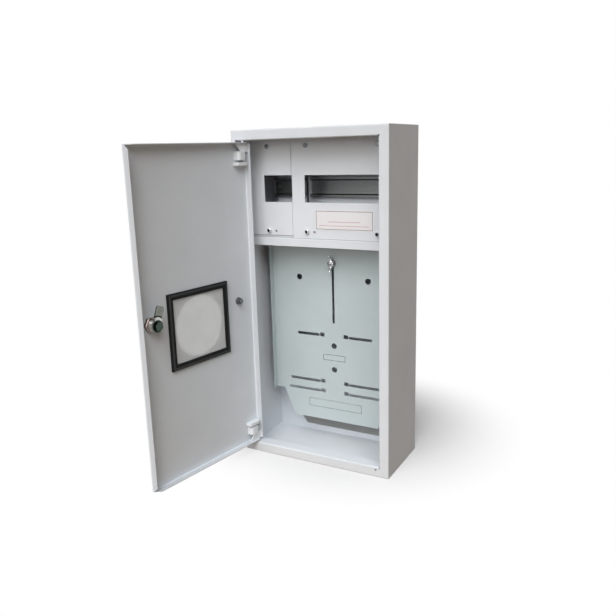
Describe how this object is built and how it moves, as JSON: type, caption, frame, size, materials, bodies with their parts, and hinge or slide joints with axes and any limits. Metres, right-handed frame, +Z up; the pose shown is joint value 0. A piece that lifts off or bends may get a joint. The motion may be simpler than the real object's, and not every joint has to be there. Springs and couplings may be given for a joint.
{
  "type": "electric meter box",
  "caption": "Wall-mounted sheet-steel electric meter box with a hinged door, round viewing window, cam lock, device rails behind covers and a slotted meter panel.",
  "frame": {"origin": "centre of the four wall holes, in the plane of the rear face", "axes": "X to the right seen from the front, +Y into the wall, +Z up"},
  "size_m": [0.3092, 0.3687, 0.58],
  "materials": {
    "powder_coat": "light grey fine-grained powder coat",
    "zinc_steel": "bright zinc plate",
    "lock_chrome": "bright plated",
    "cam_steel": "zinc plated",
    "white_plastic": "moulded white",
    "black_rubber": "matte black",
    "clear_pane": "clear plastic sheet, slightly hazy"
  },
  "bodies": {
    "box": {"shell": "powder_coat", "back_plate": "powder_coat", "cover_support": "powder_coat", "divider": "powder_coat", "cover_left": "powder_coat", "cover_right": "powder_coat", "cover_screws": "zinc_steel", "seal_screws": "zinc_steel", "rail_left": "zinc_steel", "rail_right": "zinc_steel", "rail_plates": "powder_coat", "rail_screws": "zinc_steel", "meter_panel": "powder_coat", "panel_supports": "powder_coat"},
    "door": {"door": "powder_coat", "window_pane": "clear_pane", "window_gasket": "black_rubber", "hinge_body_top": "white_plastic", "hinge_body_bottom": "white_plastic", "hinge_pin_top": "white_plastic", "hinge_pin_bottom": "white_plastic", "lock_housing": "lock_chrome", "lock_nut": "lock_chrome", "earth_stud": "zinc_steel", "earth_washer": "zinc_steel", "earth_nut": "zinc_steel"},
    "cam": {"lock_plug": "lock_chrome", "lock_cam": "cam_steel", "cam_screw": "lock_chrome"},
    "hanger": {"hanger_bolt": "zinc_steel", "hanger_washers": "zinc_steel"},
    "wing_nut": {"wing_nut": "zinc_steel"}
  },
  "joints": [
    {"name": "door_hinge", "type": "hinge", "parent": "box", "child": "door", "pos_m": [-0.1225, -0.1265, 0], "axis": [0, 0, 1], "range_deg": [-11, 99]},
    {"name": "lock_turn", "type": "hinge", "parent": "door", "child": "cam", "pos_m": [-0.1546, -0.34517, 0.0017], "axis": [0.9877, -0.1564, 0], "range_deg": [0, 110]},
    {"name": "hanger_slide", "type": "slide", "parent": "box", "child": "hanger", "axis": [0, 0, 1], "range_m": [-0.109, 0]},
    {"name": "wing_nut_turn", "type": "hinge", "parent": "hanger", "child": "wing_nut", "pos_m": [0, -0.05, 0.05736], "axis": [0, 1, 0], "continuous": true}
  ]
}
